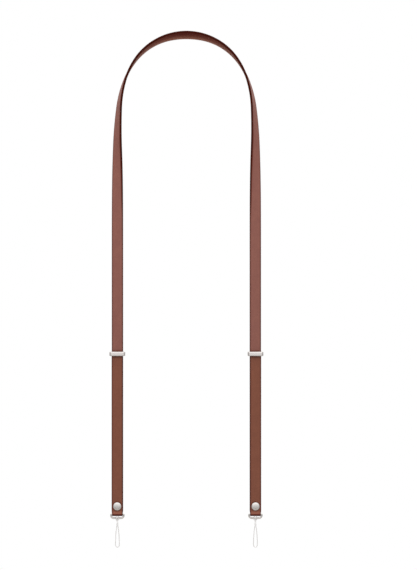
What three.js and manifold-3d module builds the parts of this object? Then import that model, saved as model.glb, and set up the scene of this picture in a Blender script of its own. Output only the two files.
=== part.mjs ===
// Crossbody phone strap: one long leather strap that hangs in a loop from the shoulder. Each end turns up
// round a wire ring, is closed by a snap and is held by a metal keeper. A thin cord loop for the phone is
// hitched to each ring. Units are millimetres, +Z is up, +X is to the right and +Y points away from the
// viewer. The origin is on the strap's inner face at the crown, where it rests on the shoulder.

import * as THREE from "three";
import { mergeVertices } from "three/addons/utils/BufferGeometryUtils.js";
import Module from "manifold-3d";

// Leather strap
const STRAP_WIDTH = 12;
const STRAP_THICK = 2.4;
const EDGE_ROUND = 0.8;
const PLY_GAP = 0.3; // between the strap and its turned-up end
const SKIVED_THICK = 1.15; // the leather is pared thin where it turns round the ring
const TURN_WIDTH = 11.1; // and is narrower there, clear of the ring's corners
const EASE_RUN = 3.4; // height above the ring's bar over which the paring runs out

// Form of the hanging loop
const LOOP_DROP = 511.5; // from the crown down to the lowest point of the leather
const ARCH_BACK = 8; // how far the crown lies behind the legs
const ARCH_BACK_RUN = 155; // strap length over which it moves back

// Half of the arch, from the crown outwards, as arcs that run into each other: millimetres and degrees
const ARCH_ARCS = [
  { stretch: "crown", radius: 73.5, sweep: 13 },
  { stretch: "haunch", radius: 64, sweep: 40 },
  { stretch: "shoulder", radius: 81.5, sweep: 19 },
  { stretch: "upper leg", radius: 125.5, sweep: 13.5 },
  { stretch: "leg", radius: 530, sweep: 4.5 },
];

// How far the strap's face is turned from the viewer, in degrees, at strap lengths from the crown
const FACE_TURNS = [
  { length: 0, turn: 116.5 },
  { length: 35, turn: 102.5 },
  { length: 70, turn: 87.3 },
  { length: 110, turn: 68.5 },
  { length: 153, turn: 45.5 },
  { length: 195, turn: 21.5 },
  { length: 235, turn: 6.5 },
  { length: 278, turn: 0 },
];

// Keeper, a loop of half-round stock with its flat side to the leather
const KEEPER_RISE = 171.9; // middle of the keeper above the lowest point of the leather
const KEEPER_STOCK_HEIGHT = 4.8;
const KEEPER_STOCK_THICK = 2;
const KEEPER_FLATNESS = 0.7; // power of the stock's sine and cosine, 1 for half an ellipse
const KEEPER_SIDE_GAP = 0.45;
const KEEPER_FACE_GAP = 0.3;
const KEEPER_CORNER = 1;
const TIP_ABOVE_KEEPER = 1.5; // the turned-up end stops inside the keeper, this far above its middle

// Wire ring
const RING_WIRE = 1.9;
const RING_WIDTH = 15.4;
const RING_HEIGHT = 6.45;
const RING_UPPER_CORNER = 1.4; // radii at the middle of the wire
const RING_LOWER_CORNER = 3;
const RING_GAP = 0.25; // between the wire and the leather round it

// Snap: domed cap in front, post through both layers, flat disc behind
const SNAP_RISE = 10.8; // middle of the snap above the lowest point of the leather
const SNAP_CAP_RADIUS = 4.35;
const SNAP_RIM = 0.4; // straight edge of the cap
const SNAP_DOME = 1.75; // height of the cap at its middle
const SNAP_POST_RADIUS = 1.5;
const SNAP_HOLE_RADIUS = 1.8;
const SNAP_BACK_RADIUS = 3.6;
const SNAP_BACK_THICK = 0.8;
const SNAP_GAP = 0.3; // cap and disc off the leather

// Phone cord
const CORD_DIAMETER = 0.9;

// Half of the cord's route, from the bight in front of the ring round the ring's lower bar, through the bight
// and down to the bottom of the loop. Places are from the middle of that bar, and the other half mirrors it.
const CORD_ROUTE = [
  { x: 0.15, y: -2.58, z: -0.7 },
  { x: 0.75, y: -2.52, z: -0.72 },
  { x: 1.22, y: -2.12, z: -0.88 },
  { x: 1.48, y: -1.38, z: -1.28 },
  { x: 1.52, y: -0.3, z: -1.66 },
  { x: 1.48, y: 0.75, z: -1.45 },
  { x: 1.42, y: 1.5, z: -0.65 },
  { x: 1.32, y: 1.52, z: 0.55 },
  { x: 1.14, y: 0.8, z: 1.4 },
  { x: 0.92, y: -0.3, z: 1.6 },
  { x: 0.7, y: -1.25, z: 1.05 },
  { x: 0.53, y: -1.63, z: -0.1 },
  { x: 0.48, y: -1.45, z: -1.2 },
  { x: 0.48, y: -1, z: -2.5 },
  { x: 0.48, y: -0.5, z: -4.2 },
  { x: 0.5, y: -0.1, z: -6.4 },
  { x: 0.62, y: 0, z: -8.8 },
  { x: 1, y: 0, z: -11.2 },
  { x: 1.48, y: 0, z: -15 },
  { x: 1.85, y: 0, z: -21 },
  { x: 2.05, y: 0, z: -26 },
  { x: 1.95, y: 0, z: -28.5 },
  { x: 1.25, y: 0, z: -30.1 },
  { x: 0, y: 0, z: -30.55 },
];

// How finely the curves are divided
const ARCH_STEPS = 46;
const LEG_STEPS = 6;
const EASE_STEPS = 5;
const TURN_STEPS = 10;
const TAIL_STEPS = 4;
const CORNER_STEPS = 5;
const EDGE_STEPS = 2;
const STOCK_STEPS = 9;
const WIRE_SIDES = 10;
const SNAP_SIDES = 24;
const DOME_STEPS = 5;
const HOLE_SIDES = 20;
const CORD_SIDES = 8;
const CORD_STEPS = 80;
const TRAVEL_REACH = 0.01; // strap length to either side that gives the direction of travel
const MERGE_REACH = 1e-4; // corners nearer than this are one

// Places that follow from the sizes above
const radians = THREE.MathUtils.degToRad;
const crownTurn = radians(FACE_TURNS[0].turn);
const turnRun = FACE_TURNS.at(-1).length;
const crownFace = new THREE.Vector3(0, -Math.cos(crownTurn), Math.sin(crownTurn));
const crownMiddle = crownFace.multiplyScalar(STRAP_THICK / 2);
const leatherBottom = crownMiddle.z - LOOP_DROP;
const barRise = RING_WIRE / 2 + RING_GAP + SKIVED_THICK;
const turnRadius = RING_WIRE / 2 + RING_GAP + SKIVED_THICK / 2;
const plyOffset = (STRAP_THICK + PLY_GAP) / 2;
const plyFace = plyOffset + STRAP_THICK / 2;
const legY = crownMiddle.y - ARCH_BACK;
const endY = legY - plyOffset; // middle between the strap and its turned-up end
const archEnd = archPoint(turnRun);
const legX = archEnd.x;
const ringFall = RING_HEIGHT - RING_WIRE; // from the ring's upper bar to its lower bar

function smooth(share) {
  return THREE.MathUtils.smoothstep(share, 0, 1);
}

// Middle of the strap on the right half, at a strap length from the crown, and its slope there
function archPoint(length) {
  let x = 0;
  let z = crownMiddle.z;
  let slope = 0;
  let left = length;
  for (const arc of ARCH_ARCS) {
    const sweep = Math.min(left / arc.radius, radians(arc.sweep));
    x += arc.radius * (Math.sin(slope + sweep) - Math.sin(slope));
    z += arc.radius * (Math.cos(slope + sweep) - Math.cos(slope));
    slope += sweep;
    left -= arc.radius * sweep;
  }
  const y = crownMiddle.y - ARCH_BACK * smooth(length / ARCH_BACK_RUN);
  return { x, y, z: z - left, slope };
}

// Turn of the face in radians, on a smooth curve through the table that is level at both ends
function faceTurn(length) {
  const rateAt = (row) => {
    if (row === 0 || row === FACE_TURNS.length - 1) return 0;
    const before = FACE_TURNS[row - 1];
    const after = FACE_TURNS[row + 1];
    return (after.turn - before.turn) / (after.length - before.length);
  };
  const reached = FACE_TURNS.filter((entry) => entry.length <= length).length;
  const row = THREE.MathUtils.clamp(reached - 1, 0, FACE_TURNS.length - 2);
  const from = FACE_TURNS[row];
  const to = FACE_TURNS[row + 1];
  const run = to.length - from.length;
  const share = THREE.MathUtils.clamp((length - from.length) / run, 0, 1);
  const rest = 1 - share;
  const levels = from.turn * rest * rest * (1 + 2 * share) + to.turn * share * share * (3 - 2 * share);
  const rates = run * share * rest * (rateAt(row) * rest - rateAt(row + 1) * share);
  return radians(levels + rates);
}

// Rounded rectangle around the origin, as points that run counter-clockwise from its upper right corner
function roundedOutline(width, height, upperCorner, lowerCorner, steps) {
  const points = [];
  for (let quarter = 0; quarter < 4; quarter += 1) {
    const start = (quarter * Math.PI) / 2;
    const signX = quarter === 0 || quarter === 3 ? 1 : -1;
    const signY = quarter < 2 ? 1 : -1;
    const corner = quarter < 2 ? upperCorner : lowerCorner;
    const centre = new THREE.Vector2(signX * (width / 2 - corner), signY * (height / 2 - corner));
    for (let step = 0; step <= steps; step += 1) {
      const angle = start + (step / steps) * (Math.PI / 2);
      const outward = new THREE.Vector2(Math.cos(angle), Math.sin(angle));
      points.push({ place: centre.clone().addScaledVector(outward, corner), outward });
    }
  }
  return points;
}

// One ring of a loft: an outline laid on two directions whose cross product points along the travel
function ringOf(place, side, up, outline) {
  return outline.map((point) => place.clone().addScaledVector(side, point.x).addScaledVector(up, point.y));
}

// Skin over a row of rings with equal numbers of points, with flat ends or joined into a loop
function loft(rings, isLoop) {
  const count = rings[0].length;
  const positions = rings.flat().flatMap((point) => point.toArray());
  const index = [];
  const spans = isLoop ? rings.length : rings.length - 1;
  for (let span = 0; span < spans; span += 1) {
    const near = span * count;
    const far = ((span + 1) % rings.length) * count;
    for (let point = 0; point < count; point += 1) {
      const next = (point + 1) % count;
      index.push(near + point, near + next, far + next);
      index.push(near + point, far + next, far + point);
    }
  }
  if (!isLoop) {
    const last = spans * count;
    for (let point = 1; point < count - 1; point += 1) {
      index.push(0, point + 1, point);
      index.push(last, last + point, last + point + 1);
    }
  }
  const geometry = new THREE.BufferGeometry();
  geometry.setAttribute("position", new THREE.Float32BufferAttribute(positions, 3));
  geometry.setIndex(index);
  return geometry;
}

// Stations of the strap's right half, from the crown to the tip of the turned-up end
function strapStations() {
  const stations = [];
  const add = (place, travel, face, width, thick) => stations.push({ place, travel, face, width, thick });

  // The arch and the turning leg: the face swings from the crown's tilt round to the viewer
  for (let step = 0; step <= ARCH_STEPS; step += 1) {
    const length = (step / ARCH_STEPS) * turnRun;
    const here = archPoint(length);
    const ahead = archPoint(length + TRAVEL_REACH);
    const behind = archPoint(length - TRAVEL_REACH);
    const travel = new THREE.Vector3(ahead.x - behind.x, ahead.y - behind.y, ahead.z - behind.z).normalize();
    const turn = faceTurn(length);
    const arch = new THREE.Vector3(Math.sin(here.slope), 0, Math.cos(here.slope));
    const face = arch.multiplyScalar(Math.sin(turn)).add(new THREE.Vector3(0, -Math.cos(turn), 0));
    face.addScaledVector(travel, -face.dot(travel)).normalize();
    add(new THREE.Vector3(here.x, here.y, here.z), travel, face, STRAP_WIDTH, STRAP_THICK);
  }

  // The straight leg, the turn round the ring's bar and the end that comes back up in front
  const down = new THREE.Vector3(0, 0, -1);
  const front = new THREE.Vector3(0, -1, 0);
  const barZ = leatherBottom + barRise;
  const easeTop = barZ + EASE_RUN;
  const tipZ = leatherBottom + KEEPER_RISE + TIP_ABOVE_KEEPER;
  for (let step = 1; step <= LEG_STEPS; step += 1) {
    const z = THREE.MathUtils.lerp(archEnd.z, easeTop, step / LEG_STEPS);
    add(new THREE.Vector3(legX, legY, z), down, front, STRAP_WIDTH, STRAP_THICK);
  }
  const eased = (rise, sign) => {
    const share = smooth(rise / EASE_RUN);
    const offset = THREE.MathUtils.lerp(turnRadius, plyOffset, share);
    const place = new THREE.Vector3(legX, endY + sign * offset, barZ + rise);
    const width = THREE.MathUtils.lerp(TURN_WIDTH, STRAP_WIDTH, share);
    const thick = THREE.MathUtils.lerp(SKIVED_THICK, STRAP_THICK, share);
    add(place, down.clone().multiplyScalar(sign), front.clone().multiplyScalar(sign), width, thick);
  };
  for (let step = EASE_STEPS - 1; step > 0; step -= 1) {
    eased((step / EASE_STEPS) * EASE_RUN, 1);
  }
  for (let step = 0; step <= TURN_STEPS; step += 1) {
    const angle = (step / TURN_STEPS) * Math.PI;
    const travel = new THREE.Vector3(0, -Math.sin(angle), -Math.cos(angle));
    const face = new THREE.Vector3(0, -Math.cos(angle), Math.sin(angle));
    const place = new THREE.Vector3(legX, endY, barZ).addScaledVector(face, -turnRadius);
    add(place, travel, face, TURN_WIDTH, SKIVED_THICK);
  }
  for (let step = 1; step <= EASE_STEPS; step += 1) {
    eased((step / EASE_STEPS) * EASE_RUN, -1);
  }
  for (let step = 1; step <= TAIL_STEPS; step += 1) {
    const z = THREE.MathUtils.lerp(easeTop, tipZ, step / TAIL_STEPS);
    const place = new THREE.Vector3(legX, endY - plyOffset, z);
    add(place, down.clone().negate(), front.clone().negate(), STRAP_WIDTH, STRAP_THICK);
  }
  return stations;
}

// The left half is the right half mirrored and travelled the other way
function mirrored(station) {
  const flip = new THREE.Vector3(-1, 1, 1);
  return {
    ...station,
    place: station.place.clone().multiply(flip),
    travel: station.travel.clone().multiply(flip).negate(),
    face: station.face.clone().multiply(flip),
  };
}

function strapGeometry() {
  const right = strapStations();
  const left = right.slice(1).reverse().map(mirrored);
  const rings = [...left, ...right].map(({ place, travel, face, width, thick }) => {
    const across = new THREE.Vector3().crossVectors(travel, face);
    const edge = Math.min(EDGE_ROUND, thick / 3);
    const outline = roundedOutline(thick, width, edge, edge, EDGE_STEPS).map((point) => point.place);
    return ringOf(place, face, across, outline);
  });
  return loft(rings, false);
}

// The snaps' holes are punched through both layers
async function punched(geometry) {
  const wasm = await Module();
  wasm.setup();
  const solidOf = (shape) => {
    const bare = new THREE.BufferGeometry().setIndex(shape.index);
    bare.setAttribute("position", shape.getAttribute("position"));
    const merged = mergeVertices(bare, MERGE_REACH);
    const vertProperties = new Float32Array(merged.getAttribute("position").array);
    const triVerts = new Uint32Array(merged.index.array);
    return new wasm.Manifold(new wasm.Mesh({ numProp: 3, vertProperties, triVerts }));
  };
  let solid = solidOf(geometry);
  for (const sign of [-1, 1]) {
    const punch = new THREE.CylinderGeometry(SNAP_HOLE_RADIUS, SNAP_HOLE_RADIUS, 4 * plyFace, HOLE_SIDES);
    punch.translate(sign * legX, endY, leatherBottom + SNAP_RISE);
    solid = solid.subtract(solidOf(punch));
  }
  const mesh = solid.getMesh();
  const cut = new THREE.BufferGeometry();
  cut.setAttribute("position", new THREE.BufferAttribute(mesh.vertProperties, 3));
  cut.setIndex(new THREE.BufferAttribute(mesh.triVerts, 1));
  return cut;
}

// Half-round stock carried round a rounded rectangle, lying level
function keeperGeometry() {
  const width = STRAP_WIDTH + 2 * KEEPER_SIDE_GAP;
  const depth = 2 * (plyFace + KEEPER_FACE_GAP);
  const stock = [];
  for (let step = 0; step <= STOCK_STEPS; step += 1) {
    const angle = (step / STOCK_STEPS - 0.5) * Math.PI;
    const out = KEEPER_STOCK_THICK * Math.cos(angle) ** KEEPER_FLATNESS;
    const rise = Math.sign(angle) * Math.abs(Math.sin(angle)) ** KEEPER_FLATNESS;
    stock.push(new THREE.Vector2(out, (KEEPER_STOCK_HEIGHT / 2) * rise));
  }
  const up = new THREE.Vector3(0, 0, -1);
  const outline = roundedOutline(width, depth, KEEPER_CORNER, KEEPER_CORNER, CORNER_STEPS);
  const rings = outline.map(({ place, outward }) => {
    const middle = new THREE.Vector3(place.x, place.y, 0);
    return ringOf(middle, new THREE.Vector3(outward.x, outward.y, 0), up, stock);
  });
  return loft(rings, true);
}

// Round wire carried round a rounded rectangle that stands upright, hung from the middle of its upper bar
function ringGeometry() {
  const wire = [];
  for (let side = 0; side < WIRE_SIDES; side += 1) {
    const angle = (side / WIRE_SIDES) * 2 * Math.PI;
    wire.push(new THREE.Vector2(Math.cos(angle), Math.sin(angle)).multiplyScalar(RING_WIRE / 2));
  }
  const up = new THREE.Vector3(0, 1, 0);
  const width = RING_WIDTH - RING_WIRE;
  const outline = roundedOutline(width, ringFall, RING_UPPER_CORNER, RING_LOWER_CORNER, CORNER_STEPS);
  const rings = outline.map(({ place, outward }) => {
    const middle = new THREE.Vector3(place.x, 0, place.y - ringFall / 2);
    return ringOf(middle, new THREE.Vector3(outward.x, 0, outward.y), up, wire);
  });
  return loft(rings, true);
}

// Cap, post and back disc turned about the Y axis, from the top of the dome to the back
function snapGeometry() {
  const capBase = -plyFace - SNAP_GAP;
  const discBase = plyFace + SNAP_GAP;
  const profile = [];
  for (let step = 0; step <= DOME_STEPS; step += 1) {
    const angle = (step / DOME_STEPS) * (Math.PI / 2);
    const height = SNAP_RIM + (SNAP_DOME - SNAP_RIM) * Math.cos(angle);
    profile.push(new THREE.Vector2(SNAP_CAP_RADIUS * Math.sin(angle), capBase - height));
  }
  profile.push(new THREE.Vector2(SNAP_CAP_RADIUS, capBase));
  profile.push(new THREE.Vector2(SNAP_POST_RADIUS, capBase));
  profile.push(new THREE.Vector2(SNAP_POST_RADIUS, discBase));
  profile.push(new THREE.Vector2(SNAP_BACK_RADIUS, discBase));
  profile.push(new THREE.Vector2(SNAP_BACK_RADIUS, discBase + SNAP_BACK_THICK));
  profile.push(new THREE.Vector2(0, discBase + SNAP_BACK_THICK));
  return new THREE.LatheGeometry(profile, SNAP_SIDES);
}

// Round cord along its route: the bottom of the loop is the middle of the route
function cordGeometry() {
  const half = CORD_ROUTE.map(({ x, y, z }) => new THREE.Vector3(x, y, z));
  const back = half.slice(0, -1).reverse().map(({ x, y, z }) => new THREE.Vector3(-x, y, z));
  const route = new THREE.CatmullRomCurve3([...half, ...back]);
  const section = new THREE.Shape();
  for (let side = 0; side < CORD_SIDES; side += 1) {
    const angle = (side / CORD_SIDES) * 2 * Math.PI;
    const x = (CORD_DIAMETER / 2) * Math.cos(angle);
    const y = (CORD_DIAMETER / 2) * Math.sin(angle);
    if (side === 0) section.moveTo(x, y);
    else section.lineTo(x, y);
  }
  return new THREE.ExtrudeGeometry(section, { steps: CORD_STEPS, extrudePath: route, bevelEnabled: false });
}

const leather = new THREE.MeshStandardMaterial({ color: 0x85544a, roughness: 0.55, metalness: 0 });
const satinNickel = new THREE.MeshStandardMaterial({ color: 0xc8c6c2, roughness: 0.3, metalness: 1 });
const whiteCord = new THREE.MeshStandardMaterial({ color: 0xf2f1ee, roughness: 0.8, metalness: 0 });

function piece(name, geometry, material, rise) {
  const mesh = new THREE.Mesh(geometry, material);
  mesh.name = name;
  mesh.position.z = rise;
  return mesh;
}

const phoneStrap = new THREE.Group();
phoneStrap.add(piece("strap", await punched(strapGeometry()), leather, 0));
for (const { side, sign } of [
  { side: "left", sign: -1 },
  { side: "right", sign: 1 },
]) {
  const end = new THREE.Group();
  end.position.set(sign * legX, endY, leatherBottom);
  end.add(piece(`keeper_${side}`, keeperGeometry(), satinNickel, KEEPER_RISE));
  end.add(piece(`snap_${side}`, snapGeometry(), satinNickel, SNAP_RISE));
  end.add(piece(`ring_${side}`, ringGeometry(), satinNickel, barRise));
  end.add(piece(`phone_cord_${side}`, cordGeometry(), whiteCord, barRise - ringFall));
  phoneStrap.add(end);
}

export default phoneStrap;
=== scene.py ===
"""Looks of the crossbody phone strap: smooth leather, satin nickel fittings and white cord loops."""

import math

import bpy
import numpy as np
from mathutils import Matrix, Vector


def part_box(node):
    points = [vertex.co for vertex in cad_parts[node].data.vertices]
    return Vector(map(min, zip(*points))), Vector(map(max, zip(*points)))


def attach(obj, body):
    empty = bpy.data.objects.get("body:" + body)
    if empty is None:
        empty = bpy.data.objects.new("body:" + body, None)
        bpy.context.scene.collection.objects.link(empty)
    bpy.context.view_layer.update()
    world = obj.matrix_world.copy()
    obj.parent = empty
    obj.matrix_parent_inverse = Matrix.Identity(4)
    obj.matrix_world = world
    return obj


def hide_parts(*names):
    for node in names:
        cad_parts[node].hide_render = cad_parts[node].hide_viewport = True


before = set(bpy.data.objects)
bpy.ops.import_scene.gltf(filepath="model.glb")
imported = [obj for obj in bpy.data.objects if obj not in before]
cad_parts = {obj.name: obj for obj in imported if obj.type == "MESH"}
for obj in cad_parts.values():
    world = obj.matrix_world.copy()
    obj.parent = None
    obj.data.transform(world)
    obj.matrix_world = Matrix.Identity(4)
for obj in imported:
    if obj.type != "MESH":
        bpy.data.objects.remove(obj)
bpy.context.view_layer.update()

MM = 0.001

# Leather strap, in millimetres
STRAP_WIDTH = 12.0
STRAP_THICK = 2.4
EDGE_ROUND = 0.8
PLY_GAP = 0.3  # between the strap and its turned-up end
SKIVED_THICK = 1.15  # the leather is pared thin where it turns round the ring
TURN_WIDTH = 11.1
EASE_RUN = 3.4  # height above the ring's bar over which the paring runs out
LOOP_DROP = 511.5  # from the crown down to the lowest point of the leather
ARCH_BACK = 8.0  # how far the crown lies behind the legs
ARCH_BACK_RUN = 155.0

# Relief of the leather, in millimetres: bulge across the crown, marks pressed in round the snaps
CROWN_BULGE = 1.2
BULGE_RUN = 130.0
PRESS_DEPTH = 0.12
PRESS_RUN = 1.5

# Wear of the leather and painted shade: shares of the dark colour, and distances in millimetres. A pair runs
# from full to none. The border and neck entries are wear; the crown, turn, snap and keeper entries are
# painted shade;
# the highlight band is a painted highlight in a paler colour
# Painted shade on the crown's underside, darkest towards its front edge
CROWN_SHADE_WIDTH = 9.0
CROWN_SHADE_RUN = 110.0
# Painted shade on the underside of the turn round the ring, full near its lowest point
TURN_SHADE = (2.4, 3.4)
# Painted highlight on the leather above the turn round the ring
HIGHLIGHT_BAND = (4.0, 7.0)
BORDER_WEAR = 0.68
BORDER_WIDTH = 2.1
NECK_EDGE = (1.2, 2.0)  # from the strap's inner edge, which lies against the neck
NECK_MIDDLE = 185.0  # strap length from the crown
NECK_RUN = (25.0, 65.0)
# Painted shadow on the leather round the snaps' caps and discs
SNAP_SHADE = 0.6
# Painted shadow on the leather just above and below the keepers, at their resting height
KEEPER_SHADE = 0.6
KEEPER_SHADE_BAND = (2.9, 4.2)

# Half of the arch from the crown outwards: radius in millimetres, sweep in degrees
ARCH_ARCS = [
    (73.5, 13.0),
    (64.0, 40.0),
    (81.5, 19.0),
    (125.5, 13.5),
    (530.0, 4.5),
]

# Turn of the strap's face from the viewer: strap length from the crown in millimetres, turn in degrees
FACE_TURNS = [
    (0.0, 116.5),
    (35.0, 102.5),
    (70.0, 87.3),
    (110.0, 68.5),
    (153.0, 45.5),
    (195.0, 21.5),
    (235.0, 6.5),
    (278.0, 0.0),
]

# Keeper, in millimetres
KEEPER_RISE = 171.9  # middle of the keeper above the lowest point of the leather
KEEPER_STOCK_HEIGHT = 4.8
KEEPER_STOCK_THICK = 2.0
KEEPER_SIDE_GAP = 0.45
KEEPER_FACE_GAP = 0.3
KEEPER_CORNER = 1.0
KEEPER_EDGE = 0.25  # radius of the softened edges
KEEPER_FLATNESS = 0.42  # power of the stock's sine and cosine, 1 for half an ellipse
TIP_ABOVE_KEEPER = 1.5  # the turned-up end stops inside the keeper

# Ring, in millimetres
RING_WIRE = 1.9
RING_WIDTH = 15.4
RING_HEIGHT = 6.45
RING_UPPER_CORNER = 1.4
RING_LOWER_CORNER = 3.0
RING_GAP = 0.25

# Snap, in millimetres
SNAP_RISE = 10.8
SNAP_CAP_RADIUS = 4.35
SNAP_RIM = 0.4
SNAP_DOME = 1.75
SNAP_POST_RADIUS = 1.5
SNAP_CHAMFER = 0.3
SNAP_BACK_RADIUS = 3.6
SNAP_BACK_THICK = 0.8
SNAP_SEAT = 0.02  # cap and disc off the leather
SNAP_TOP = 2.0  # angle of the dome's last ring from its top, in degrees

# Phone cord, in millimetres. The real braid has more and finer strands, and is drawn coarser so that it shows
CORD_DIAMETER = 0.9
CORD_STRANDS = 4
CORD_PLAIT = 1.5
CORD_RELIEF = 0.09  # depth of the hollows as a share of the radius
CORD_BAR_GREY = (0.5, 1.1)  # heights from the ring's bar over which the cord is greyed, from full to none
# Greyer down the loop, which leaves the cord near the ring's bar, in the shade of the ring and the fold,
# painted lighter
CORD_LOOP_GREY = 0.65
CORD_LOOP_GREY_FROM = (3.0, 9.0)  # depths below the bar over which the loop's grey begins

# Half of the phone cord's route from the middle of the ring's lower bar: x, y and z in millimetres
CORD_ROUTE = [
    (0.01, -2.58, -0.7),
    (0.75, -2.52, -0.72),
    (1.22, -2.12, -0.88),
    (1.48, -1.38, -1.28),
    (1.52, -0.3, -1.66),
    (1.48, 0.75, -1.45),
    (1.42, 1.5, -0.65),
    (1.32, 1.52, 0.55),
    (1.14, 0.8, 1.4),
    (0.92, -0.3, 1.6),
    (0.7, -1.25, 1.05),
    (0.53, -1.63, -0.1),
    (0.48, -1.45, -1.2),
    (0.48, -1.0, -2.5),
    (0.48, -0.5, -4.2),
    (0.5, -0.1, -6.4),
    (0.62, 0.0, -8.8),
    (1.0, 0.0, -11.2),
    (1.48, 0.0, -15.0),
    (1.85, 0.0, -21.0),
    (2.05, 0.0, -26.0),
    (1.95, 0.0, -28.5),
    (1.25, 0.0, -30.1),
    (0.0, 0.0, -30.55),
]

# How finely the surfaces are divided: steps in millimetres, then counts
ROW_STEP = 8.0
CLOSE_STEP = 0.7  # near the snap and the keeper
CLOSE_REACH = 7.5
TRAVEL_REACH = 0.01  # strap length to either side that gives the direction of travel
ARCH_ROWS = 141
EASE_ROWS = 15
TURN_ROWS = 25
EDGE_STEPS = 6
CORNER_STEPS = 10
STOCK_POINTS = 29
SOFT_EDGE_POINTS = 5
DOME_ROWS = 23
WIRE_SIDES = 20
SNAP_SIDES = 48
CORD_SIDES = 24
ROUTE_STEPS = 16
FLOOR_SIDES = 96

# Shares along a straight side of an outline where it gets extra points
FITTING_SHARES = [0.06, 0.5, 0.94]
STRAP_SHARES = [0.04, 0.12, 0.22, 0.34, 0.5, 0.66, 0.78, 0.88, 0.96]

# Materials of the strap by side, and how far sideways a face looks where the edge paint begins
OUTER, INNER, PAINTED = 0, 1, 2
PAINT_FROM = 0.2

# Patterns of the materials, in millimetres. Natural grain is about 0.4 mm and is drawn a little coarser, at
# the sizes given with each leather, so that it shows
DYE_CLOUD = 9.0
SWELL = 24.0
SWELL_HEIGHT = 0.12
GRAIN_WANDER = 0.7  # how far the valleys wander, as a share of a cell
GRAIN_SLOPE = 0.2  # share of a cell over which its side rises
PORES_TO_CELL = 4.0
PORE_SHARE = 0.4  # height of the pores as a share of the cells'
VALLEY_DULL = 0.1  # added to the roughness in the valleys
CELL_SHINE = 0.04  # taken from it on top of the cells
BRUSH_WAVE = (0.8, 0.8, 6.0)
BRUSH_HEIGHT = 0.03
METAL_MARKS = 0.5
PLATING_WAVE = 3.0
PLATING_HEIGHT = 0.02
YARN = 0.12
YARN_HEIGHT = 0.02

# Range that a noise pattern mostly fills
NOISE_LOW, NOISE_HIGH = 0.3, 0.7

# Roughness of the finishes over which a pattern plays, from their shiniest spots to their dullest
PAINT_ROUGHNESS = (0.45, 0.6)
NICKEL_ROUGHNESS = (0.2, 0.32)
FLOOR_ROUGHNESS = (0.8, 0.9)

# Other settings of the finishes: reflection of the edge paint, roughness and fuzz of the cord
PAINT_GLOSS = 0.02
YARN_ROUGHNESS = 0.8
YARN_FUZZ = 0.3
YARN_FUZZ_ROUGHNESS = 0.5

# Picture frame and camera: photo's height in pixels, then millimetres, but the offset in pixels
PHOTO_HEIGHT = 570
PHOTO_PIXEL = 1.06
OBJECT_OFF_CENTRE = 22.1
CAMERA_DISTANCE = 1200.0
CAMERA_Z = -265.8
SENSOR = 36.0

# Floor, in metres
FLOOR_RADIUS = 2.4
FLOOR_FADE_FROM = 0.8
FLOOR_Z = -1.2
FLOOR_CLOUD = 0.5

# Room: brightness behind the strap, on the viewer's side above and below, and at the sides. Each range is
# of the direction's upward, sideways or backward part, over which one brightness runs into the next
ROOM_BACK = 1.0
ROOM_FRONT_ABOVE = 1.4
ROOM_FRONT_BELOW = 0.46
ROOM_SIDES = 0.4
UPWARD_RANGE = (-0.5, 0.5)
SIDEWAYS_RANGE = (0.7, 0.97)
BACKWARD_RANGE = (0.75, 0.94)

# Soft boxes: name, place and target in metres, size in metres, spread in degrees, power in watts
LIGHTS = [
    ("key", (0.0, -0.8, 1.05), (0.0, 0.0, -0.3), 1.3, 180.0, 22.0),
    ("crown_bounce", (0.0, 0.3, -0.4), (0.0, 0.0, 0.0), 0.3, 90.0, 0.7),
    ("left_side", (-0.7, 0.0, 0.0), (-0.06, 0.0, -0.075), 0.3, 40.0, 0.03),
    ("right_side", (0.7, 0.0, 0.0), (0.06, 0.0, -0.075), 0.3, 40.0, 0.03),
]

# Places that follow from the sizes above
crown_turn = math.radians(FACE_TURNS[0][1])
crown_y = -math.cos(crown_turn) * STRAP_THICK / 2
crown_z = math.sin(crown_turn) * STRAP_THICK / 2
leather_bottom = crown_z - LOOP_DROP
bar_rise = RING_WIRE / 2 + RING_GAP + SKIVED_THICK
turn_radius = RING_WIRE / 2 + RING_GAP + SKIVED_THICK / 2
turn_run = FACE_TURNS[-1][0]
ply_offset = (STRAP_THICK + PLY_GAP) / 2
ply_face = ply_offset + STRAP_THICK / 2
leg_y = crown_y - ARCH_BACK
end_y = leg_y - ply_offset
ring_fall = RING_HEIGHT - RING_WIRE
snap_z = leather_bottom + SNAP_RISE
keeper_z = leather_bottom + KEEPER_RISE


def smooth(share):
    """Smooth step from 0 to 1: three times the square less twice the cube of the share."""
    share = np.clip(share, 0.0, 1.0)
    return share * share * (3.0 - 2.0 * share)


def fading(distance, limits):
    """1 up to the first limit and 0 from the second, with a smooth step between them."""
    full, none = limits
    return 1.0 - smooth((distance - full) / (none - full))


def unit(vectors):
    """Each row divided by its length."""
    return vectors / np.linalg.norm(vectors, axis=-1, keepdims=True)


def run_along(points):
    """Length along a line of points, from its first one: the sum of the steps so far."""
    return np.concatenate([[0.0], np.cumsum(np.linalg.norm(np.diff(points, axis=0), axis=1))])


def unit_circle(sides):
    """Points at equal angles once round a circle of radius 1: the cosine and the sine of each angle."""
    angle = np.linspace(0.0, 2 * np.pi, sides, endpoint=False)
    return np.stack([np.cos(angle), np.sin(angle)], axis=-1)


def arch_run(length):
    """Middle of the strap's right half at strap lengths from the crown. Each arc adds its radius times
    the change of the sine to x and of the cosine to z, what is left of the length runs straight down, and
    y follows a smooth step."""
    x = np.zeros_like(length)
    z = np.full_like(length, crown_z)
    slope = np.zeros_like(length)
    left = length.copy()
    for radius, sweep in ARCH_ARCS:
        turn = np.minimum(left / radius, math.radians(sweep))
        x += radius * (np.sin(slope + turn) - np.sin(slope))
        z += radius * (np.cos(slope + turn) - np.cos(slope))
        slope += turn
        left -= radius * turn
    y = crown_y - ARCH_BACK * smooth(length / ARCH_BACK_RUN)
    return np.stack([x, y, z - left], axis=-1), slope


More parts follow.
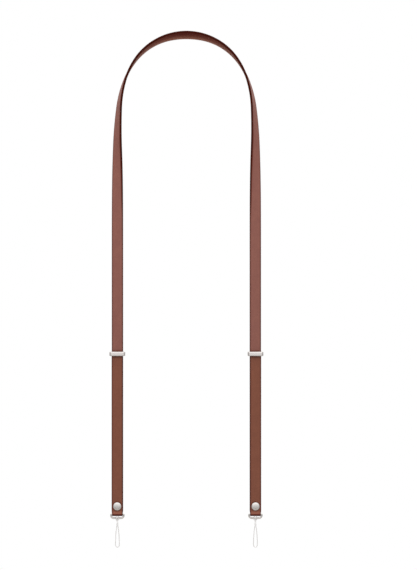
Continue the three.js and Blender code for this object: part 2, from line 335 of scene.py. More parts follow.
def face_turn(length):
    """Turn of the face in radians: between two rows of the table it is the cubic that meets both turns,
    with each row's slope taken from the rows beside it and level ends."""
    at, turn = np.array(FACE_TURNS).T
    rate = np.zeros_like(turn)
    rate[1:-1] = (turn[2:] - turn[:-2]) / (at[2:] - at[:-2])
    row = np.clip(np.searchsorted(at, length, side="right") - 1, 0, len(at) - 2)
    run = at[row + 1] - at[row]
    share = np.clip((length - at[row]) / run, 0.0, 1.0)
    rest = 1.0 - share
    from_turn = turn[row] * rest * rest * (1.0 + 2.0 * share)
    to_turn = turn[row + 1] * share * share * (3.0 - 2.0 * share)
    rates = run * share * rest * (rate[row] * rest - rate[row + 1] * share)
    return np.radians(from_turn + to_turn + rates)


leg_x = float(arch_run(np.array([turn_run]))[0][0, 0])


def upright_rows(low, high):
    """Heights from low to high, a wide step apart, with a close step round the snap and the keeper."""
    near = np.arange(-CLOSE_REACH, CLOSE_REACH, CLOSE_STEP)
    wide = np.linspace(low, high, round((high - low) / ROW_STEP))
    rows = np.concatenate([wide, snap_z + near, keeper_z + near])
    return np.unique(rows[(rows >= low) & (rows <= high)])


def strap_stations():
    """Stations along the strap's right half, from the crown to the tip: arch and turning leg, straight
    leg, paring, half turn round the ring's bar, paring and the end that comes back up. Each has a place,
    a travel direction, the direction of the outer face, a width and a thickness."""
    length = np.linspace(0.0, turn_run, ARCH_ROWS)
    place, slope = arch_run(length)
    travel = unit(arch_run(length + TRAVEL_REACH)[0] - arch_run(length - TRAVEL_REACH)[0])
    turn = face_turn(length)
    zero = np.zeros_like(turn)
    arch_out = np.stack([np.sin(slope), zero, np.cos(slope)], axis=-1)
    face = arch_out * np.sin(turn)[:, None] - np.array([0.0, 1.0, 0.0]) * np.cos(turn)[:, None]
    face = unit(face - np.sum(face * travel, axis=-1, keepdims=True) * travel)
    parts = [(place, travel, face, zero + STRAP_WIDTH, zero + STRAP_THICK)]

    def upright(y, z, sign, width, thick):
        """A row of stations on a vertical stretch, going down behind (sign 1) or up in front (sign
        -1)."""
        zero = np.zeros_like(z)
        place = np.stack([zero + leg_x, zero + y, z], axis=-1)
        travel = np.stack([zero, zero, zero - sign], axis=-1)
        face = np.stack([zero, zero - sign, zero], axis=-1)
        parts.append((place, travel, face, zero + width, zero + thick))

    bar_z = leather_bottom + bar_rise
    ease_top = bar_z + EASE_RUN
    ease_rise = np.linspace(EASE_RUN, 0.0, EASE_ROWS)[1:-1]
    ease = smooth(ease_rise / EASE_RUN)
    ease_offset = turn_radius + (ply_offset - turn_radius) * ease
    ease_width = TURN_WIDTH + (STRAP_WIDTH - TURN_WIDTH) * ease
    ease_thick = SKIVED_THICK + (STRAP_THICK - SKIVED_THICK) * ease
    leg_z = upright_rows(ease_top, place[-1, 2])[-2::-1]
    upright(leg_y, leg_z, 1.0, STRAP_WIDTH, STRAP_THICK)
    upright(end_y + ease_offset, bar_z + ease_rise, 1.0, ease_width, ease_thick)

    angle = np.linspace(0.0, np.pi, TURN_ROWS)
    zero = np.zeros_like(angle)
    travel = np.stack([zero, -np.sin(angle), -np.cos(angle)], axis=-1)
    face = np.stack([zero, -np.cos(angle), np.sin(angle)], axis=-1)
    place = np.array([leg_x, end_y, bar_z]) - turn_radius * face
    parts.append((place, travel, face, zero + TURN_WIDTH, zero + SKIVED_THICK))

    upright(end_y - ease_offset[::-1], bar_z + ease_rise[::-1], -1.0, ease_width[::-1], ease_thick[::-1])
    end_z = upright_rows(ease_top, keeper_z + TIP_ABOVE_KEEPER)
    upright(end_y - ply_offset, end_z, -1.0, STRAP_WIDTH, STRAP_THICK)
    return [np.concatenate(column) for column in zip(*parts)]


def whole_strap():
    """Both halves end to end: the left half is the right one mirrored in x and travelled backwards."""
    place, travel, face, width, thick = strap_stations()
    flip = np.array([-1.0, 1.0, 1.0])
    left = slice(None, 0, -1)
    return (
        np.concatenate([place[left] * flip, place]),
        np.concatenate([-travel[left] * flip, travel]),
        np.concatenate([face[left] * flip, face]),
        np.concatenate([width[left], width]),
        np.concatenate([thick[left], thick]),
    )


def grid_mesh(name, points, is_loop=False):
    """Mesh over a grid of points in millimetres: rows along a path, columns round a closed section. A
    loop joins its last row to its first, and an open path is closed at each end by triangles to the end
    row's middle."""
    rows, columns = points.shape[:2]
    spans = rows if is_loop else rows - 1
    near = np.arange(spans)[:, None] * columns
    far = (np.arange(spans)[:, None] + 1) % rows * columns
    here = np.arange(columns)[None, :]
    after = (here + 1) % columns
    quads = np.stack([near + here, near + after, far + after, far + here], axis=-1).reshape(-1, 4)
    vertices = points.reshape(-1, 3)
    faces = quads.tolist()
    if not is_loop:
        first = len(vertices)
        vertices = np.concatenate([vertices, points[:1].mean(axis=1), points[-1:].mean(axis=1)])
        end = (rows - 1) * columns
        ring = np.arange(columns)
        following = (ring + 1) % columns
        start_fan = np.stack([np.full(columns, first), following, ring], axis=-1)
        end_fan = np.stack([np.full(columns, first + 1), end + ring, end + following], axis=-1)
        faces += start_fan.tolist() + end_fan.tolist()
    mesh = bpy.data.meshes.new(name)
    mesh.from_pydata((vertices * MM).tolist(), [], faces)
    mesh.shade_smooth()
    piece = bpy.data.objects.new(name, mesh)
    bpy.context.scene.collection.objects.link(piece)
    return piece


def keep(piece, name, values):
    """Keeps a number or a vector for each point of an open grid, and the end rows' means for the middles
    of the ends."""
    ends = [values[:1].mean(axis=1), values[-1:].mean(axis=1)]
    flat = np.concatenate([values.reshape(-1, *values.shape[2:]), *ends])
    kind, field = ("FLOAT", "value") if values.ndim == 2 else ("FLOAT_VECTOR", "vector")
    piece.data.attributes.new(name, kind, "POINT").data.foreach_set(field, flat.ravel())


def carried(place, side, up, section):
    """A section carried along a path: each place plus the section's first coordinate along side and its
    second along up. The section is one outline for all places, or one for each."""
    section = np.broadcast_to(section, (len(place), *section.shape[-2:]))
    first = section[..., 0:1] * side[:, None, :]
    second = section[..., 1:2] * up[:, None, :]
    return place[:, None, :] + first + second


def rounded_rectangle(first, second, upper, lower, steps, shares):
    """Outlines of rectangles of two sizes, counter-clockwise, one for each entry of the sizes: a quarter
    circle about each corner's centre, with one radius for the upper corners and one for the lower ones,
    followed by points at shares of the straight side after it. Gives the points and the outward
    directions."""
    sizes = (first, second, upper, lower)
    first, second, upper, lower = (np.asarray(size, float)[..., None, None] for size in sizes)
    quarter = np.arange(4)[:, None]
    radius = np.where(quarter < 2, upper, lower)
    angle = (quarter + np.linspace(0.0, 1.0, steps + 1)) * np.pi / 2
    out = np.stack([np.cos(angle), np.sin(angle)], axis=-1)
    diagonal = (quarter + 0.5) * np.pi / 2
    centre_first = np.sign(np.cos(diagonal)) * (first / 2 - radius)
    centre_second = np.sign(np.sin(diagonal)) * (second / 2 - radius)
    arc = np.stack([centre_first, centre_second], axis=-1) + radius[..., None] * out
    share = np.array(shares)[:, None]
    side = arc[..., -1:, :] * (1.0 - share) + np.roll(arc[..., :1, :], -1, axis=-3) * share
    side_out = np.repeat(out[:, -1:, :], len(shares), axis=1)
    points = np.concatenate([arc, side], axis=-2)
    outward = np.concatenate([out, side_out], axis=-2)
    return points.reshape(*points.shape[:-3], -1, 2), outward.reshape(-1, 2)


def linear(hex_colour):
    """sRGB hex to linear RGB with alpha 1."""
    value = np.array([int(hex_colour[i:i + 2], 16) for i in (1, 3, 5)]) / 255.0
    value = np.where(value <= 0.04045, value / 12.92, ((value + 0.055) / 1.055) ** 2.4)
    return (*value.tolist(), 1.0)


def feed(tree, node, inputs):
    """Sets each named input of a node, or links it if the value is a socket."""
    for name, value in inputs.items():
        if isinstance(value, bpy.types.NodeSocket):
            tree.links.new(value, node.inputs[name])
        else:
            node.inputs[name].default_value = value


def add(tree, kind, inputs=None, **settings):
    """Adds a node with its own settings and feeds its inputs."""
    made = tree.nodes.new(kind)
    for name, value in settings.items():
        setattr(made, name, value)
    feed(tree, made, inputs or {})
    return made


def new_material(name):
    """An empty material with its shader and output."""
    material = bpy.data.materials.new(name)
    material.use_nodes = True
    tree = material.node_tree
    tree.nodes.clear()
    shader = add(tree, "ShaderNodeBsdfPrincipled")
    add(tree, "ShaderNodeOutputMaterial", {"Surface": shader.outputs["BSDF"]})
    return material, tree, shader


def strap_position(tree):
    """The strap's own coordinates in millimetres: through, across and along the leather."""
    return add(tree, "ShaderNodeAttribute", attribute_name="strap_mm").outputs["Vector"]


def grain_leather(name, base, dark, valley, worn_and_shaded, painted_highlight, roughness, gloss, grain, grain_height):
    """Drum-dyed cowhide with a smooth finished grain: plump cells with narrow, darker valleys between
    them, fine pores, a soft uneven dye, and a nearly matt top coat that shines a little more on top of
    the cells. It is darker where it is handled: along the borders and where it lies against the neck. It
    holds painted shade towards the front edge at the crown, at the turn round the ring, round the snaps
    and beside the keepers, and a painted highlight above that turn."""
    material, tree, shader = new_material(name)
    where = strap_position(tree)
    wander = add(tree, "ShaderNodeTexNoise", {"Vector": where, "Scale": 1.0 / grain, "Detail": 2.0})
    wandered = add(
        tree,
        "ShaderNodeVectorMath",
        {0: wander.outputs["Color"], 1: [GRAIN_WANDER * grain] * 3, 2: where},
        operation="MULTIPLY_ADD",
    )
    cells = add(
        tree,
        "ShaderNodeTexVoronoi",
        {"Vector": wandered.outputs["Vector"], "Scale": 1.0 / grain},
        feature="DISTANCE_TO_EDGE",
    )
    plump = add(
        tree,
        "ShaderNodeMapRange",
        {"Value": cells.outputs["Distance"], "From Max": GRAIN_SLOPE},
        interpolation_type="SMOOTHSTEP",
    )
    fine = add(
        tree,
        "ShaderNodeTexNoise",
        {"Vector": where, "Scale": PORES_TO_CELL / grain, "Detail": 3.0},
    )
    dye = add(
        tree,
        "ShaderNodeTexNoise",
        {"Vector": where, "Scale": 1.0 / DYE_CLOUD, "Detail": 4.0, "Roughness": 0.6},
    )
    wave = add(tree, "ShaderNodeTexNoise", {"Vector": where, "Scale": 1.0 / SWELL, "Detail": 1.0})
    tone = add(
        tree,
        "ShaderNodeMapRange",
        {"Value": dye.outputs["Fac"], "From Min": NOISE_LOW, "From Max": NOISE_HIGH},
    )
    dyed = add(
        tree,
        "ShaderNodeMix",
        {"Factor": tone.outputs["Result"], "A": linear(dark), "B": linear(base)},
        data_type="RGBA",
    )
    grained = add(
        tree,
        "ShaderNodeMix",
        {"Factor": plump.outputs["Result"], "A": linear(valley), "B": dyed.outputs["Result"]},
        data_type="RGBA",
    )
    # Painted highlight above the turn round the ring
    highlight_share = add(tree, "ShaderNodeAttribute", attribute_name="painted_highlight")
    highlighted = add(
        tree,
        "ShaderNodeMix",
        {"Factor": highlight_share.outputs["Fac"], "A": grained.outputs["Result"], "B": linear(painted_highlight)},
        data_type="RGBA",
    )
    # Wear along the borders and the neck edge, and painted shade at the crown, the turn, the snaps and the
    # keepers
    wear_and_shade = add(tree, "ShaderNodeAttribute", attribute_name="wear_and_shade")
    colour = add(
        tree,
        "ShaderNodeMix",
        {"Factor": wear_and_shade.outputs["Fac"], "A": highlighted.outputs["Result"], "B": linear(worn_and_shaded)},
        data_type="RGBA",
    )
    shine = add(
        tree,
        "ShaderNodeMapRange",
        {
            "Value": plump.outputs["Result"],
            "To Min": roughness + VALLEY_DULL,
            "To Max": roughness - CELL_SHINE,
        },
    )
    pores = add(
        tree,
        "ShaderNodeMath",
        {0: fine.outputs["Fac"], 1: PORE_SHARE, 2: plump.outputs["Result"]},
        operation="MULTIPLY_ADD",
    )
    swell = add(
        tree,
        "ShaderNodeBump",
        {"Height": wave.outputs["Fac"], "Distance": SWELL_HEIGHT * MM, "Strength": 1.0},
    )
    relief = add(
        tree,
        "ShaderNodeBump",
        {
            "Height": pores.outputs["Value"],
            "Distance": grain_height * MM,
            "Strength": 1.0,
            "Normal": swell.outputs["Normal"],
        },
    )
    feed(
        tree,
        shader,
        {
            "Base Color": colour.outputs["Result"],
            "Roughness": shine.outputs["Result"],
            "Normal": relief.outputs["Normal"],
            "Specular IOR Level": gloss,
        },
    )
    return material


def edge_paint(name, base):
    """Acrylic edge paint brushed on the cut edge in several coats: darker than the leather, smooth and
    nearly without shine, with faint long brush waves."""
    material, tree, shader = new_material(name)
    where = strap_position(tree)
    stretch = add(
        tree,
        "ShaderNodeMapping",
        {"Vector": where, "Scale": [1.0 / size for size in BRUSH_WAVE]},
    )
    waves = add(
        tree,
        "ShaderNodeTexNoise",
        {"Vector": stretch.outputs["Vector"], "Scale": 1.0, "Detail": 2.0},
    )
    shine = add(
        tree,
        "ShaderNodeMapRange",
        {"Value": waves.outputs["Fac"], "To Min": PAINT_ROUGHNESS[0], "To Max": PAINT_ROUGHNESS[1]},
    )
    relief = add(
        tree,
        "ShaderNodeBump",
        {"Height": waves.outputs["Fac"], "Distance": BRUSH_HEIGHT * MM, "Strength": 1.0},
    )
    feed(
        tree,
        shader,
        {
            "Base Color": linear(base),
            "Roughness": shine.outputs["Result"],
            "Normal": relief.outputs["Normal"],
            "Specular IOR Level": PAINT_GLOSS,
        },
    )
    return material


def satin_nickel(name, base):
    """Zinc and steel fittings, tumbled and nickel plated: a bright, slightly warm metal whose reflections
    are soft, with fine rubbing marks and a faint unevenness of the plating."""
    material, tree, shader = new_material(name)
    where = add(tree, "ShaderNodeTexCoord").outputs["Object"]
    marks = add(
        tree,
        "ShaderNodeTexNoise",
        {"Vector": where, "Scale": 1.0 / (METAL_MARKS * MM), "Detail": 4.0},
    )
    plating = add(
        tree,
        "ShaderNodeTexNoise",
        {"Vector": where, "Scale": 1.0 / (PLATING_WAVE * MM), "Detail": 2.0},
    )
    shine = add(
        tree,
        "ShaderNodeMapRange",
        {
            "Value": marks.outputs["Fac"],
            "From Min": NOISE_LOW,
            "From Max": NOISE_HIGH,
            "To Min": NICKEL_ROUGHNESS[0],
            "To Max": NICKEL_ROUGHNESS[1],
        },
    )
    relief = add(
        tree,
        "ShaderNodeBump",
        {"Height": plating.outputs["Fac"], "Distance": PLATING_HEIGHT * MM, "Strength": 0.5},
    )
    feed(
        tree,
        shader,
        {
            "Base Color": linear(base),
            "Metallic": 1.0,
            "Roughness": shine.outputs["Result"],
            "Normal": relief.outputs["Normal"],
        },
    )
    return material


def braided_polyester(name, base, shade, grey):
    """Plaited polyester cord: bright white yarn, matt, with a soft fuzz and painted shade in the hollows
    between the plaits. It is greyer where it wraps the ring's bar, and greyer down the loop, which leaves
    the cord just below the bar, in the shade of the ring and the fold, painted lighter."""
    material, tree, shader = new_material(name)
    # Painted shade in the hollows between the plaits
    depth = add(tree, "ShaderNodeAttribute", attribute_name="plait")
    plait_shaded = add(
        tree,
        "ShaderNodeMix",
        {"Factor": depth.outputs["Fac"], "A": linear(shade), "B": linear(base)},
        data_type="RGBA",
    )
    greyed = add(tree, "ShaderNodeAttribute", attribute_name="greyed")
    colour = add(
        tree,
        "ShaderNodeMix",
        {"Factor": greyed.outputs["Fac"], "A": plait_shaded.outputs["Result"], "B": linear(grey)},
        data_type="RGBA",
    )
    where = add(tree, "ShaderNodeTexCoord").outputs["Object"]
    yarn = add(
        tree,
        "ShaderNodeTexNoise",
        {"Vector": where, "Scale": 1.0 / (YARN * MM), "Detail": 2.0},
    )
    relief = add(
        tree,
        "ShaderNodeBump",
        {"Height": yarn.outputs["Fac"], "Distance": YARN_HEIGHT * MM, "Strength": 0.6},
    )
    feed(
        tree,
        shader,
        {
            "Base Color": colour.outputs["Result"],
            "Roughness": YARN_ROUGHNESS,
            "Normal": relief.outputs["Normal"],
            "Sheen Weight": YARN_FUZZ,
            "Sheen Roughness": YARN_FUZZ_ROUGHNESS,
        },
    )
    return material


def matt_floor(name, base):
    """Painted studio floor: pale, even and matt. It fades out towards its rim, so that no edge shows."""
    material, tree, shader = new_material(name)
    where = add(tree, "ShaderNodeTexCoord").outputs["Object"]
    cloud = add(tree, "ShaderNodeTexNoise", {"Vector": where, "Scale": 1.0 / FLOOR_CLOUD, "Detail": 3.0})
    shine = add(
        tree,
        "ShaderNodeMapRange",
        {"Value": cloud.outputs["Fac"], "To Min": FLOOR_ROUGHNESS[0], "To Max": FLOOR_ROUGHNESS[1]},
    )
    from_middle = add(tree, "ShaderNodeVectorMath", {0: where}, operation="LENGTH")
    fade = add(
        tree,
        "ShaderNodeMapRange",
        {
            "Value": from_middle.outputs["Value"],
            "From Min": math.hypot(FLOOR_FADE_FROM, FLOOR_Z),
            "From Max": math.hypot(FLOOR_RADIUS, FLOOR_Z),
            "To Min": 1.0,
            "To Max": 0.0,
        },
        interpolation_type="SMOOTHSTEP",
    )
    feed(
        tree,
        shader,
        {
            "Base Color": linear(base),
            "Roughness": shine.outputs["Result"],
            "Alpha": fade.outputs["Result"],
        },
    )
    return material


outer_leather = grain_leather(
    "smooth_grain_leather",
    base="#85584d",
    dark="#7b5048",
    valley="#724941",
    worn_and_shaded="#52241a",
    painted_highlight="#8e5f52",
    roughness=0.5,
    gloss=0.08,
    grain=0.6,
    grain_height=0.03,
)
inner_leather = grain_leather(
    "lining_leather",
    base="#7a4b3a",
    dark="#714435",
    valley="#683e2f",
    worn_and_shaded="#4c170d",
    painted_highlight="#8a5747",
    roughness=0.55,
    gloss=0.15,
    grain=0.55,
    grain_height=0.028,
)
painted_edge = edge_paint("painted_leather_edge", "#340f07")
nickel = satin_nickel("satin_nickel_plate", "#d8d4d0")
# The keepers' nickel is the same satin nickel painted lighter and warmer: painted light and a painted
# reflection of the leather
keeper_nickel_painted_lighter = satin_nickel("satin_nickel_plate_painted_lighter", "#e4dedb")
white_yarn = braided_polyester("braided_polyester_cord", base="#f8f7f6", shade="#e4e2e0", grey="#b0adab")
floor_paint = matt_floor("matt_floor_paint", "#a3a09d")


def dress(piece, body, slot, *nodes):
    """Gives a piece its body and hides the CAD parts of the nodes that it stands for. The slot is not used.
    """
    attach(piece, body)
    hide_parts(*nodes)
    return piece


def make_strap():
    """One leather strap: a rounded rectangle carried along the stations, its corners rounded by at most a
    third of the thickness. Near the crown the middle of the width bulges to the inner side by a parabola.
    Round the snaps the inner side is pressed in, by a smooth step of the distance from the snap's rim.
    Each point keeps its place on the leather in millimetres, through it, across it and along it, its share
    of the dark colour for wear and painted shade, and its share of painted highlight. Faces that look
    sideways are the painted edge, the others are the outer or the inner side."""
    place, travel, face, width, thick = whole_strap()
    edge = np.minimum(EDGE_ROUND, thick / 3.0)
    section, outward = rounded_rectangle(thick, width, edge, edge, EDGE_STEPS, STRAP_SHARES)
    through = section[..., 0]
    across = section[..., 1]
    along = run_along(place)
    from_crown = np.abs(along - along[-1] / 2)[:, None]
    parabola = 1.0 - (2 * across / width[:, None]) ** 2
    bulge = CROWN_BULGE * fading(from_crown, (0.0, BULGE_RUN)) * parabola
    rim = np.where(place[:, 1:2] < end_y, SNAP_CAP_RADIUS, SNAP_BACK_RADIUS)
    press = fading(np.hypot(across, place[:, 2:] - snap_z) - rim, (0.0, PRESS_RUN))
    inner_share = np.clip(-2 * through / thick[:, None], 0.0, 1.0)
    shift = PRESS_DEPTH * press * inner_share - bulge
    bent = section + np.stack([shift, np.zeros_like(shift)], axis=-1)
    piece = grid_mesh("strap_leather", carried(place, face, np.cross(travel, face), bent))

    length = np.broadcast_to(along[:, None], across.shape)
    from_turn = np.abs(from_crown - from_crown[np.argmin(place[:, 2])])
    # Painted shade on the underside of the turn round the ring, full near its lowest point
    turn_shade = fading(from_turn, TURN_SHADE)
    # Painted shade on the crown's underside, darkest towards its front edge
    crown_shade = smooth(0.5 + across / CROWN_SHADE_WIDTH) * fading(from_crown, (0.0, CROWN_SHADE_RUN))
    border_wear = BORDER_WEAR * fading(width[:, None] / 2 - np.abs(across), (0.0, BORDER_WIDTH))
    neck_stretch = fading(np.abs(from_crown - NECK_MIDDLE), NECK_RUN)
    neck_wear = neck_stretch * fading(width[:, None] / 2 - across, NECK_EDGE)
    # Painted shadow on the leather just above and below the keepers, at their resting height
    keeper_shade = KEEPER_SHADE * fading(np.abs(place[:, 2:] - keeper_z), KEEPER_SHADE_BAND)
    # Painted shadow on the leather round the snaps' caps and discs
    snap_shade = SNAP_SHADE * press
    wears_and_shades = np.broadcast_arrays(turn_shade, crown_shade, border_wear, neck_wear, keeper_shade, snap_shade)
    # Painted highlight above the turn round the ring, where its painted shade ends
    highlight_share = (1.0 - turn_shade) * fading(from_turn, HIGHLIGHT_BAND)
    keep(piece, "strap_mm", np.stack([through, across, length], axis=-1))
    keep(piece, "wear_and_shade", np.max(wears_and_shades, axis=0))
    keep(piece, "painted_highlight", np.broadcast_to(highlight_share, across.shape))

    middle = unit(outward + np.roll(outward, -1, axis=0))
    side = np.where(middle[:, 0] > 0.0, OUTER, INNER)
    column = np.where(np.abs(middle[:, 1]) > PAINT_FROM, PAINTED, side)
    slots = np.concatenate([np.tile(column, len(place) - 1), np.full(2 * len(column), PAINTED)])
    for material in (outer_leather, inner_leather, painted_edge):
        piece.data.materials.append(material)
    piece.data.polygons.foreach_set("material_index", slots.astype(np.int32))
    return dress(piece, "strap", "leather", "strap")


def node_middle(name):
    """Middle of a CAD piece's box in millimetres."""
    low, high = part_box(name)
    return (np.array(low) + np.array(high)) / 2 / MM


def make_keeper(side):
    """Half-round stock with softened edges carried round a rounded rectangle that lies level: half an
    oval outside, flatter than an ellipse by a power of its sine and cosine, a quarter circle at each edge
    and a flat inside."""
    wide = STRAP_WIDTH + 2 * KEEPER_SIDE_GAP
    deep = 2 * (ply_face + KEEPER_FACE_GAP)
    corners = (KEEPER_CORNER, KEEPER_CORNER)
    path, outward = rounded_rectangle(wide, deep, *corners, CORNER_STEPS, FITTING_SHARES)
    level = np.zeros((len(path), 1))
    down = np.broadcast_to([0.0, 0.0, -1.0], (len(path), 3))
    angle = np.linspace(-np.pi / 2, np.pi / 2, STOCK_POINTS)
    out = np.cos(angle) ** KEEPER_FLATNESS
    rise = np.sign(angle) * np.abs(np.sin(angle)) ** KEEPER_FLATNESS
    reach = KEEPER_STOCK_THICK - KEEPER_EDGE
    round_side = np.stack([KEEPER_EDGE + reach * out, KEEPER_STOCK_HEIGHT / 2 * rise], axis=-1)
    bend = np.linspace(0.0, np.pi / 2, SOFT_EDGE_POINTS)[1:]
    edge_in = KEEPER_EDGE * (1.0 - np.sin(bend))
    edge_up = KEEPER_STOCK_HEIGHT / 2 - KEEPER_EDGE * (1.0 - np.cos(bend))
    upper = np.stack([edge_in, edge_up], axis=-1)
    lower = (upper * [1.0, -1.0])[::-1]
    section = np.concatenate([round_side, upper, lower])
    place = node_middle("keeper_" + side) + np.hstack([path, level])
    grid = carried(place, np.hstack([outward, level]), down, section)
    piece = grid_mesh("keeper_" + side + "_stock", grid, is_loop=True)
    piece.data.materials.append(keeper_nickel_painted_lighter)
    return dress(piece, "keeper_" + side, "nickel", "keeper_" + side)


def make_ring(side):
    """Round wire carried round a rectangle that stands upright, with rounder corners below than above."""
    wide = RING_WIDTH - RING_WIRE
    corners = (RING_UPPER_CORNER, RING_LOWER_CORNER)
    path, outward = rounded_rectangle(wide, ring_fall, *corners, CORNER_STEPS, FITTING_SHARES)
    level = np.zeros((len(path), 1))
    back = np.broadcast_to([0.0, 1.0, 0.0], (len(path), 3))
    section = unit_circle(WIRE_SIDES) * RING_WIRE / 2
    place = node_middle("ring_" + side) + np.hstack([path[:, :1], level, path[:, 1:]])
    grid = carried(place, np.hstack([outward[:, :1], level, outward[:, 1:]]), back, section)
    piece = grid_mesh("ring_" + side + "_wire", grid, is_loop=True)
    piece.data.materials.append(nickel)
    return dress(piece, "ring_" + side, "nickel", "ring_" + side)


def make_snap(side, sign):
    """Profile of the snap turned about a line from back to front: flat disc behind the leather, post
    through it and domed cap in front, whose height over its rim follows an ellipse. Sharp corners get a
    small chamfer."""
    seat = ply_face + SNAP_SEAT
    disc_back = seat + SNAP_BACK_THICK
    disc = [
        (SNAP_BACK_RADIUS / 2, disc_back),
        (SNAP_BACK_RADIUS - 2 * SNAP_CHAMFER, disc_back),
        (SNAP_BACK_RADIUS - SNAP_CHAMFER, disc_back - SNAP_CHAMFER / 4),
        (SNAP_BACK_RADIUS, disc_back - SNAP_CHAMFER),
        (SNAP_BACK_RADIUS, seat + SNAP_CHAMFER / 2),
        (SNAP_BACK_RADIUS - SNAP_CHAMFER / 2, seat),
    ]
    post = [
        (SNAP_POST_RADIUS, seat),
        (SNAP_POST_RADIUS, -seat),
    ]
    rim = [
        (SNAP_CAP_RADIUS - SNAP_CHAMFER / 2, -seat),
        (SNAP_CAP_RADIUS, -seat - SNAP_CHAMFER / 2),
    ]
    angle = np.radians(np.linspace(90.0, SNAP_TOP, DOME_ROWS))
    height = seat + SNAP_RIM + (SNAP_DOME - SNAP_RIM) * np.cos(angle)
    dome = np.stack([SNAP_CAP_RADIUS * np.sin(angle), -height], axis=-1)
    radius, y = np.concatenate([disc, post, rim, dome]).T
    middle = np.array([sign * leg_x, end_y, snap_z])
    place = middle + np.stack([np.zeros_like(y), y, np.zeros_like(y)], axis=-1)
    right = np.broadcast_to([1.0, 0.0, 0.0], place.shape)
    up = np.broadcast_to([0.0, 0.0, 1.0], place.shape)
    grid = carried(place, right, up, radius[:, None, None] * unit_circle(SNAP_SIDES))
    piece = grid_mesh("snap_" + side + "_cap", grid)
    piece.data.materials.append(nickel)
    return dress(piece, "strap", "nickel", "snap_" + side)


def through_points(points, steps):
    """Smooth line through the points: between two of them the cubic that meets both, with the slope at
    each point from its neighbours, weighted by the square roots of the distances."""
    ends = np.concatenate([2 * points[:1] - points[1:2], points, 2 * points[-1:] - points[-2:-1]])
    step = np.diff(ends, axis=0)
    pace = np.linalg.norm(step, axis=1, keepdims=True) ** 0.5
    before, span, after = pace[:-2], pace[1:-1], pace[2:]
    slope = step / pace
    start = (slope[:-2] - (step[:-2] + step[1:-1]) / (before + span) + slope[1:-1]) * span
    finish = (slope[1:-1] - (step[1:-1] + step[2:]) / (span + after) + slope[2:]) * span
    share = np.linspace(0.0, 1.0, steps + 1)[:-1][None, :, None]
    rest = 1.0 - share
    from_point = points[:-1, None] * rest * rest * (1.0 + 2.0 * share)
    to_point = points[1:, None] * share * share * (3.0 - 2.0 * share)
    slopes = share * rest * (start[:, None] * rest - finish[:, None] * share)
    return np.concatenate([(from_point + to_point + slopes).reshape(-1, 3), points[-1:]])


def make_cord(side, sign):
    """Cord carried along its route: from the front of the hitch round the ring's lower bar, down one
    strand, up the other and back round the bar. Its radius follows the higher of two opposite spirals of
    plaits, each the size of a cosine."""
    half = np.array(CORD_ROUTE)
    other = half[-2::-1] * [-1.0, 1.0, 1.0]
    bar = np.array([sign * leg_x, end_y, leather_bottom + bar_rise - ring_fall])
    line = through_points(np.concatenate([half, other]), ROUTE_STEPS) + bar
    along = run_along(line)
    travel = unit(np.gradient(line, axis=0))
    first = unit(np.cross(np.ones(3), travel))
    second = np.cross(travel, first)
    angle = np.linspace(0.0, 2 * np.pi, CORD_SIDES, endpoint=False)
    winding = 2 * np.pi * along[:, None] / CORD_PLAIT
    one_way = np.abs(np.cos((CORD_STRANDS * angle + winding) / 2))
    other_way = np.abs(np.cos((CORD_STRANDS * angle - winding) / 2))
    plait = np.maximum(one_way, other_way)
    radius = CORD_DIAMETER / 2 * (1.0 - CORD_RELIEF * (1.0 - plait))
    grid = carried(line, first, second, radius[..., None] * unit_circle(CORD_SIDES))
    piece = grid_mesh("cord_" + side + "_braid", grid)
    below = bar[2] - line[:, 2:]
    # Greyer where the cord wraps the ring's bar
    bar_grey = fading(np.abs(below), CORD_BAR_GREY)
    # Greyer down the loop, which leaves the cord near the ring's bar, in the shade of the ring and the fold,
    # painted lighter
    loop_grey = CORD_LOOP_GREY * (1.0 - fading(below, CORD_LOOP_GREY_FROM))
    keep(piece, "plait", plait)
    keep(piece, "greyed", np.broadcast_to(np.maximum(bar_grey, loop_grey), plait.shape))
    piece.data.materials.append(white_yarn)
    dress(piece, "ring_" + side, "cord", "phone_cord_" + side)
    return piece


def make_camera():
    """Camera straight in front at the height of the photo's middle, shifted sideways as the photo is
    cropped."""
    data = bpy.data.cameras.new("camera")
    data.sensor_width = SENSOR
    data.lens = SENSOR * CAMERA_DISTANCE / (PHOTO_HEIGHT * PHOTO_PIXEL)
    data.shift_x = OBJECT_OFF_CENTRE / PHOTO_HEIGHT
    camera = bpy.data.objects.new("camera", data)
    camera.location = (0.0, (leg_y - CAMERA_DISTANCE) * MM, CAMERA_Z * MM)
    camera.rotation_euler = (math.pi / 2, 0.0, 0.0)
    bpy.context.scene.collection.objects.link(camera)
    bpy.context.scene.camera = camera


def make_light(name, place, target, size, spread, power):
    """A square soft box at a place in metres, turned to face its target."""
    data = bpy.data.lights.new(name, "AREA")
    data.size = size
    data.spread = math.radians(spread)
    data.energy = power
    light = bpy.data.objects.new(name, data)
    light.location = place
    light.visible_camera = False
    light.visible_glossy = False
    light.rotation_euler = (Vector(target) - Vector(place)).to_track_quat("-Z", "Y").to_euler()
    bpy.context.scene.collection.objects.link(light)


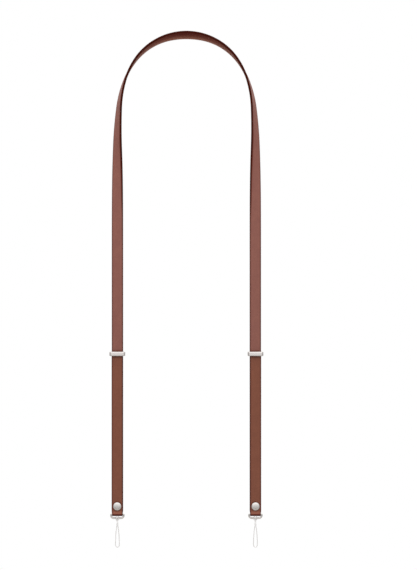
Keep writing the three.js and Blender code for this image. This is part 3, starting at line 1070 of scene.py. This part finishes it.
def make_floor():
    """A round pale floor below the strap."""
    rim = unit_circle(FLOOR_SIDES) * FLOOR_RADIUS
    points = np.hstack([rim, np.full((FLOOR_SIDES, 1), FLOOR_Z)])
    mesh = bpy.data.meshes.new("floor")
    mesh.from_pydata(points.tolist(), [], [list(range(FLOOR_SIDES))])
    mesh.materials.append(floor_paint)
    floor = bpy.data.objects.new("floor", mesh)
    bpy.context.scene.collection.objects.link(floor)


def make_room():
    """White surroundings: even behind the strap, brighter above the viewer than below, dim at the sides."""
    world = bpy.data.worlds.new("white_room")
    bpy.context.scene.world = world
    world.use_nodes = True
    tree = world.node_tree
    tree.nodes.clear()
    where = add(tree, "ShaderNodeTexCoord").outputs["Generated"]
    axes = add(tree, "ShaderNodeSeparateXYZ", {"Vector": where})
    front = add(
        tree,
        "ShaderNodeMapRange",
        {
            "Value": axes.outputs["Z"],
            "From Min": UPWARD_RANGE[0],
            "From Max": UPWARD_RANGE[1],
            "To Min": ROOM_FRONT_BELOW,
            "To Max": ROOM_FRONT_ABOVE,
        },
    )
    aside = add(tree, "ShaderNodeMath", {0: axes.outputs["X"]}, operation="ABSOLUTE")
    round_room = add(
        tree,
        "ShaderNodeMapRange",
        {
            "Value": aside.outputs["Value"],
            "From Min": SIDEWAYS_RANGE[0],
            "From Max": SIDEWAYS_RANGE[1],
            "To Min": front.outputs["Result"],
            "To Max": ROOM_SIDES,
        },
    )
    level = add(
        tree,
        "ShaderNodeMapRange",
        {
            "Value": axes.outputs["Y"],
            "From Min": BACKWARD_RANGE[0],
            "From Max": BACKWARD_RANGE[1],
            "To Min": round_room.outputs["Result"],
            "To Max": ROOM_BACK,
        },
    )
    wall = add(
        tree,
        "ShaderNodeBackground",
        {"Color": linear("#ffffff"), "Strength": level.outputs["Result"]},
    )
    add(tree, "ShaderNodeOutputWorld", {"Surface": wall.outputs["Background"]})
    bpy.context.scene.view_settings.view_transform = "Standard"


make_camera()
for side, sign in (("left", -1.0), ("right", 1.0)):
    make_cord(side, sign)
    make_keeper(side)
    make_ring(side)
    make_snap(side, sign)
make_strap()
make_room()
make_floor()
for light in LIGHTS:
    make_light(*light)
